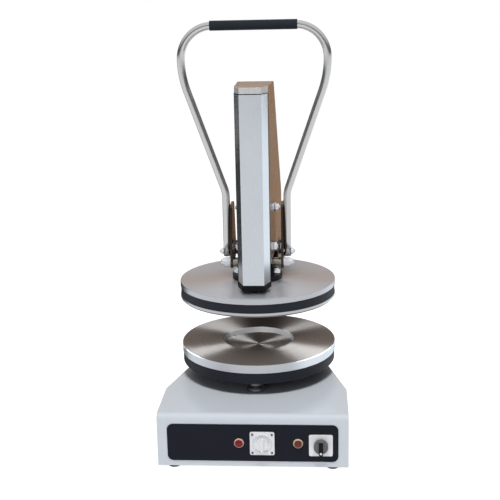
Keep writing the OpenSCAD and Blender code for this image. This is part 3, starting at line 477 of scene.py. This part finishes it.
def make_discs():
    """Turned discs with broken edges in place of the CAD discs. Returns the lower plate."""
    low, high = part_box("lower_plate")
    radius = (high.x - low.x) / 2
    floor = high.z - RECESS_DEPTH
    plate = lathed(eased([(0, low.z), (radius, low.z), (radius, high.z - RIM_CHAMFER),
                          (radius - RIM_CHAMFER, high.z), (RECESS_R, high.z), (RECESS_R, floor), (0, floor)]))
    low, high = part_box("press_plate")
    press = lathed(eased([(0, low.z), (radius - PRESS_CHAMFER, low.z), (radius, low.z + PRESS_CHAMFER),
                          (radius, high.z), (0, high.z)]))
    low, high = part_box("top_disc")
    top = lathed(eased([(0, low.z), (radius, low.z), (radius, high.z - RIM_CHAMFER),
                        (radius - RIM_CHAMFER, high.z), (0, high.z)]))
    lower = stand_in("lower_plate", "turned_lower_plate", plate)
    for disc in (lower, stand_in("press_plate", "turned_press_plate", press),
                 stand_in("top_disc", "turned_top_disc", top)):
        finish_rim(disc)
    return lower


# Handle

# Driving sizes, as in the CAD part
TUBE_R = 0.008
TUBE_WALL = 0.0015
HANDLE_REACH = 0.150
CORNER_R = 0.066
SWEEP_R = 0.200
KNEE_R = 0.060
TUBE_LEAN = math.radians(19.4)
# Sides of the tube, steps along its legs and bends, and share of the sweep that is left to the corner
TUBE_SIDES = 40
LEG_STEPS = 4
KNEE_STEPS = 10
SWEEP_STEPS = 18
CORNER_STEPS = 28
SWEEP_REST_SHARE = 0.05


def arc(centre, radius, start, end, steps):
    """Points of an arc in X and Z."""
    turn = [start + (end - start) * i / steps for i in range(steps + 1)]
    return [Vector((centre[0] + radius * math.cos(a), 0, centre[1] + radius * math.sin(a))) for a in turn]


def hoop_line():
    """Middle line of the handle from its right end over the grip to its left end."""
    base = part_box("handle_tube")[0].z
    grip = middle("handle_grip")
    tube_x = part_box("lever_right")[1].x + TUBE_R
    corner_z = grip.z - CORNER_R
    sweep_end_x = HANDLE_REACH - SWEEP_R * (1 - math.cos(TUBE_LEAN))
    sweep_end_z = corner_z - SWEEP_R * math.sin(TUBE_LEAN)
    knee_x = tube_x + KNEE_R * (1 - math.cos(TUBE_LEAN))
    knee_z = sweep_end_z - (sweep_end_x - knee_x) / math.tan(TUBE_LEAN) - KNEE_R * math.sin(TUBE_LEAN)
    half = [Vector((tube_x, 0, base + (knee_z - base) * i / LEG_STEPS)) for i in range(LEG_STEPS)]
    half += arc((tube_x + KNEE_R, knee_z), KNEE_R, math.pi, math.pi - TUBE_LEAN, KNEE_STEPS)
    half += arc((HANDLE_REACH - SWEEP_R, corner_z), SWEEP_R, -TUBE_LEAN, -TUBE_LEAN * SWEEP_REST_SHARE,
                SWEEP_STEPS)
    half += arc((HANDLE_REACH - CORNER_R, corner_z), CORNER_R, 0, math.pi / 2, CORNER_STEPS)
    line = half + [Vector((-p.x, 0, p.z)) for p in reversed(half)]
    return [p + Vector((0, grip.y, 0)) for p in line]


def swept_tube(line):
    """Tube along a line in the plane of X and Z, with open ends that show its wall."""
    mesh = bmesh.new()
    turn = round_turn(TUBE_SIDES)
    ways = [after - before for before, after in zip(line[:1] + line[:-1], line[1:] + line[-1:])]
    sides = [way.normalized().cross(Vector((0, 1, 0))) for way in ways]
    skins = [[[mesh.verts.new(point + side * (r * math.cos(a)) + Vector((0, r * math.sin(a), 0)))
               for a in turn] for point, side in zip(line, sides)] for r in (TUBE_R, TUBE_R - TUBE_WALL)]
    for skin in skins:
        bridge(mesh, skin)
    for end in (0, -1):
        bridge(mesh, [skin[end] for skin in skins])
    return outward(mesh)


def make_handle():
    """Smooth bent tube in place of the faceted CAD hoop."""
    tube = piece("hoop_tube", swept_tube(hoop_line()), "lever", "polished_steel", TUBE_STEEL, creased=False)
    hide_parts("handle_tube")


# Trim

# Front profile's plan, as in the CAD part
PROFILE_FACE_HALF = 0.0215
PROFILE_BACK_HALF = 0.033
# Painted shade: dark strips beside the profile and a dark line on its top, which stand for the shade in these
# gaps
SEAM_R = 0.0011
SEAM_STEPS = 8
SHADE_LINE_GROW = 0.0004
SHADE_LINE_H = 0.0012


def make_seams():
    """Painted shade: dark strips in the seams beside the front profile, and a dark line under its cap, for
    the shade in these gaps.
    """
    low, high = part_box("front_profile")
    turn = [math.pi * (i / SEAM_STEPS - 1 / 2) for i in range(SEAM_STEPS + 1)]
    reach = PROFILE_BACK_HALF - SEAM_R / 2
    for side, name in ((-1, "seam_shade_left"), (1, "seam_shade_right")):
        outline = [(side * (reach + SEAM_R * math.cos(a)), high.y + SEAM_R * math.sin(a)) for a in turn]
        # Painted shade: dark strip in the seam
        piece(name, extruded(outline, low.z, high.z), "base", "dark_plastic")
    near = PROFILE_FACE_HALF + SHADE_LINE_GROW
    far = PROFILE_BACK_HALF + SHADE_LINE_GROW
    plan = [(-near, low.y - SHADE_LINE_GROW), (near, low.y - SHADE_LINE_GROW), (far, high.y), (-far, high.y)]
    # Painted shadow line under the cap
    shade_line = extruded(plan, high.z - SHADE_LINE_H / 2, high.z + SHADE_LINE_H / 2)
    piece("cap_shade_line", shade_line, "base", "dark_plastic")


# Lenses' radius, as in the CAD part, and their flanges
LENS_R = 0.0060
FLANGE_R = 0.0077
FLANGE_H = 0.0004
FLANGE_SIDES = 48


def make_lens_flanges():
    """Coloured flanges of the lamps' lenses on their bezels."""
    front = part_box("pilot_bezels")[0].y
    section = [(FLANGE_R, -FLANGE_H / 2), (FLANGE_R, FLANGE_H / 2), (FLANGE_R - FLANGE_H / 2, FLANGE_H),
               (LENS_R, FLANGE_H), (LENS_R, -FLANGE_H / 2)]
    for lens, slot in (("red_lens", "lens_red"), ("amber_lens", "lens_amber")):
        at = Vector((middle(lens).x, front, middle(lens).z))
        piece(lens + "_flange", facing_front(section, at, FLANGE_SIDES, True), "base", slot)


# Height of the knob's bar, and its dot: radius, height, place above the bar's end, and dome in shares of both
KNOB_BAR_H = 0.0070
DOT_R = 0.0022
DOT_H = 0.0005
DOT_INSET = 0.0045
DOT_SIDES = 24
DOT_SHARES = [(1, 0), (1, 0.6), (0.8, 0.9), (0.4, 1)]


def finish_knob(knob):
    """Black bar across the grey knob, with a white dot near its lower end."""
    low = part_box("switch_knob")[0]
    second_finish(knob, MATERIALS["dark_plastic"], lambda face: face.center.y < low.y + KNOB_BAR_H)
    at = Vector((middle("switch_knob").x, low.y + DOT_H / 2, low.z + DOT_INSET))
    dome = [(DOT_R * across, DOT_H * out) for across, out in DOT_SHARES]
    piece("knob_dot", facing_front(dome, at, DOT_SIDES), "switch", "white_plastic", creased=False)


# Marks on the timer: number, distance from its middle, and size
TICKS = 24
TICK_R = 0.0185
TICK_SIZE = Vector((0.0005, 0.0003, 0.0026))


def make_ticks():
    """Plain marks on the timer's raised scale."""
    centre = Vector((middle("timer_plate").x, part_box("timer_plate")[0].y, middle("timer_plate").z))
    mesh = bmesh.new()
    shape = Matrix.Translation((0, 0, TICK_R)) @ Matrix.Diagonal((*TICK_SIZE, 1))
    for angle in round_turn(TICKS):
        turn = Matrix.Rotation(angle, 4, "Y")
        bmesh.ops.create_cube(mesh, size=1.0, matrix=Matrix.Translation(centre) @ turn @ shape)
    piece("scale_ticks", mesh, "base", "white_plastic", TICK_GREY)


# Stage

def make_camera():
    """Camera fitted to the photograph."""
    forward = Vector((-math.sin(CAMERA_YAW) * math.cos(CAMERA_PITCH),
                      math.cos(CAMERA_YAW) * math.cos(CAMERA_PITCH), -math.sin(CAMERA_PITCH)))
    level = Vector((math.cos(CAMERA_YAW), math.sin(CAMERA_YAW), 0))
    rise = level.cross(forward)
    right = math.cos(CAMERA_ROLL) * level + math.sin(CAMERA_ROLL) * rise
    up = -math.sin(CAMERA_ROLL) * level + math.cos(CAMERA_ROLL) * rise
    data = bpy.data.cameras.new("camera")
    data.lens = CAMERA_LENS
    data.sensor_width = SENSOR_WIDTH
    camera = bpy.data.objects.new("camera", data)
    turn = Matrix((right, up, -forward)).transposed().to_4x4()
    camera.matrix_world = Matrix.Translation(CAMERA_AT) @ turn
    bpy.context.scene.collection.objects.link(camera)
    bpy.context.scene.camera = camera


# Floor's half size, colour, roughness and own light
FLOOR_HALF = 12.0
FLOOR_GREY = 0.6
FLOOR_ROUGHNESS = 0.9
FLOOR_GLOW = 0.85


def make_floor():
    """Plain pale floor, left out of the mirror-like reflections."""
    mesh = bmesh.new()
    bmesh.ops.create_grid(mesh, x_segments=1, y_segments=1, size=FLOOR_HALF)
    data = bpy.data.meshes.new("floor")
    mesh.to_mesh(data)
    mesh.free()
    floor = bpy.data.objects.new("floor", data)
    bpy.context.scene.collection.objects.link(floor)
    mat, _, shader = new_material("floor")
    shader.inputs["Base Color"].default_value = (FLOOR_GREY, FLOOR_GREY, FLOOR_GREY, 1)
    shader.inputs["Roughness"].default_value = FLOOR_ROUGHNESS
    shader.inputs["Emission Color"].default_value = (1, 1, 1, 1)
    shader.inputs["Emission Strength"].default_value = FLOOR_GLOW
    data.materials.append(mat)
    floor.visible_glossy = False


# Upward share of a direction that counts as far above, and as far below when negative
FAR_SHARE = 0.5
# What the steel mirrors in front and at the sides, from far below to far above: a lit table and a dim room
ROOM = [(0.0, (0.95, 0.97, 1.0)), (0.49, (0.95, 0.97, 1.0)), (0.56, (0.08, 0.08, 0.085)),
        (0.70, (0.10, 0.10, 0.105)), (0.84, (0.45, 0.46, 0.48)), (1.0, (0.75, 0.76, 0.78))]
# What it mirrors behind: a brown wall that grows pale upwards
WALL = [(0.30, (0.28, 0.165, 0.092)), (0.50, (0.29, 0.175, 0.10)), (0.62, (0.39, 0.275, 0.205)),
        (0.80, (0.56, 0.495, 0.46)), (1.0, (0.80, 0.79, 0.80))]
# Direction of the wall, and its inner and outer angle in degrees
WALL_PATCH = ((0.0, 1.0, 0.1), 30, 44)
# Patches over both: direction, inner and outer angle in degrees, and colour
SURROUNDINGS = [
    ((0.0, 0.0, 1.0), 28, 55, (0.85, 0.86, 0.88)),
    ((-0.585, 0.78, -0.20), 13, 21, (0.02, 0.02, 0.02)),
    ((0.66, 0.70, -0.30), 17, 22, (1.12, 1.19, 1.27)),
]
# Share of the surroundings' light that reaches matt surfaces
AMBIENT_SHARE = 0.24


def lobe(tree, direction, way, inner, outer):
    """Soft round patch of the surroundings: 1 within an inner angle of a direction, 0 beyond an outer one."""
    dot = tree.nodes.new("ShaderNodeVectorMath")
    dot.operation = "DOT_PRODUCT"
    dot.inputs[1].default_value = Vector(way).normalized()
    tree.links.new(direction, dot.inputs[0])
    spread = tree.nodes.new("ShaderNodeMapRange")
    spread.interpolation_type = "SMOOTHSTEP"
    spread.inputs["From Min"].default_value = math.cos(math.radians(outer))
    spread.inputs["From Max"].default_value = math.cos(math.radians(inner))
    tree.links.new(dot.outputs["Value"], spread.inputs["Value"])
    return spread.outputs["Result"]


def layer(tree, below, share, colour):
    """Colour, or another node's colour, laid over what is below by a share from 0 to 1."""
    mix = tree.nodes.new("ShaderNodeMix")
    mix.data_type = "RGBA"
    tree.links.new(share, mix.inputs["Factor"])
    tree.links.new(below, mix.inputs["A"])
    if isinstance(colour, tuple):
        mix.inputs["B"].default_value = (*colour, 1)
    else:
        tree.links.new(colour, mix.inputs["B"])
    return mix.outputs["Result"]


def make_world():
    """White backdrop for the camera, and a room of soft patches for light and reflections."""
    world = bpy.data.worlds.new("studio")
    bpy.context.scene.world = world
    world.use_nodes = True
    tree = world.node_tree
    tree.nodes.clear()
    out = tree.nodes.new("ShaderNodeOutputWorld")
    direction = tree.nodes.new("ShaderNodeTexCoord").outputs["Generated"]
    split = tree.nodes.new("ShaderNodeSeparateXYZ")
    tree.links.new(direction, split.inputs["Vector"])
    height = remap(tree, split.outputs["Z"], 0, 1, -FAR_SHARE, FAR_SHARE)
    behind = lobe(tree, direction, *WALL_PATCH)
    room = layer(tree, gradient(tree, height, ROOM), behind, gradient(tree, height, WALL))
    for way, inner, outer, colour in SURROUNDINGS:
        room = layer(tree, room, lobe(tree, direction, way, inner, outer), colour)
    path = tree.nodes.new("ShaderNodeLightPath")
    lit = tree.nodes.new("ShaderNodeBackground")
    strength = remap(tree, path.outputs["Is Diffuse Ray"], 1, AMBIENT_SHARE, 0, 1)
    tree.links.new(room, lit.inputs["Color"])
    tree.links.new(strength, lit.inputs["Strength"])
    backdrop = tree.nodes.new("ShaderNodeBackground")
    backdrop.inputs["Color"].default_value = (1, 1, 1, 1)
    backdrop.inputs["Strength"].default_value = 1
    choose = tree.nodes.new("ShaderNodeMixShader")
    tree.links.new(path.outputs["Is Camera Ray"], choose.inputs["Fac"])
    tree.links.new(lit.outputs["Background"], choose.inputs[1])
    tree.links.new(backdrop.outputs["Background"], choose.inputs[2])
    tree.links.new(choose.outputs["Shader"], out.inputs["Surface"])


# Lamps for all: place, size, power in watts and colour
LAMPS = {"key": ((0.15, -0.95, 2.4), (0.5, 0.5), 56.0, (1.0, 0.99, 0.98)),
         "fill": ((-0.8, -2.2, 0.9), (1.2, 1.2), 6.0, (0.95, 0.97, 1.0))}
# Lamps for one piece alone: place from the lower plate's middle, size, power in watts and colour
SIDE_LAMPS = {"side_right": ((0.95, 0.02, 0.16), (1.1, 0.3), 27.0, (0.78, 0.91, 1.0)),
              "side_left": ((-0.93, 0.20, 0.15), (0.6, 0.3), 12.0, (0.78, 0.91, 1.0))}
NUT_LAMPS = {"nuts_right": ((0.75, -0.95, 0.75), (0.4, 0.4), 9.0, (0.94, 0.97, 1.0)),
             "nuts_left": ((-0.75, -0.95, 0.75), (0.4, 0.4), 9.0, (0.94, 0.97, 1.0))}
BEND_LAMPS = {"bend_glint": ((-0.10, -0.95, 1.75), (1.8, 0.10), 4.0, (0.94, 0.97, 1.0))}
BORE_LAMPS = {"bore_front": ((-0.25, -0.80, 0.24), (0.3, 0.2), 6.0, (0.96, 0.98, 1.0))}


def make_light(name, at, target, size, power, colour):
    """Soft rectangular lamp aimed at a point, which the steel doesn't mirror."""
    data = bpy.data.lights.new(name, "AREA")
    data.shape = "RECTANGLE"
    data.size, data.size_y = size
    data.energy = power
    data.color = colour
    lamp = bpy.data.objects.new(name, data)
    lamp.location = at
    lamp.rotation_euler = (target - Vector(at)).to_track_quat("-Z", "Y").to_euler()
    lamp.visible_camera = False
    lamp.visible_glossy = False
    bpy.context.scene.collection.objects.link(lamp)
    return lamp


def make_piece_lamps(obj, lamps):
    """Lamps that light one piece alone, which may mirror them, and draw its bright places."""
    lit = bpy.data.collections.new("lit_" + obj.name)
    lit.objects.link(obj)
    aim = middle("lower_plate")
    for name, (way, size, power, colour) in lamps.items():
        lamp = make_light(name, aim + Vector(way), aim, size, power, colour)
        lamp.visible_glossy = True
        lamp.light_linking.receiver_collection = lit


def make_stage():
    """Camera, floor, surroundings and the lamps for all."""
    make_camera()
    make_floor()
    make_world()
    for name, (at, size, power, colour) in LAMPS.items():
        make_light(name, at, middle("upper_ring"), size, power, colour)


bpy.context.scene.view_settings.view_transform = "Standard"
make_stage()
dress_frame()
soft_pieces = soften_edges()
make_handle()
make_seams()
second_finish(soft_pieces["pilot_bezels"], BEZEL_RED, lambda face: face.center.x < 0)
second_finish(soft_pieces["top_cap"], CAP_GREY, lambda face: face.normal.z < LEVEL_SHARE)
make_piece_lamps(make_discs(), SIDE_LAMPS)
make_piece_lamps(make_bore(), BORE_LAMPS)
make_piece_lamps(soft_pieces["flange_bolts"], NUT_LAMPS)
make_piece_lamps(soft_pieces["base_housing"], BEND_LAMPS)
finish_knob(soft_pieces["switch_knob"])
make_ticks()
make_lens_flanges()
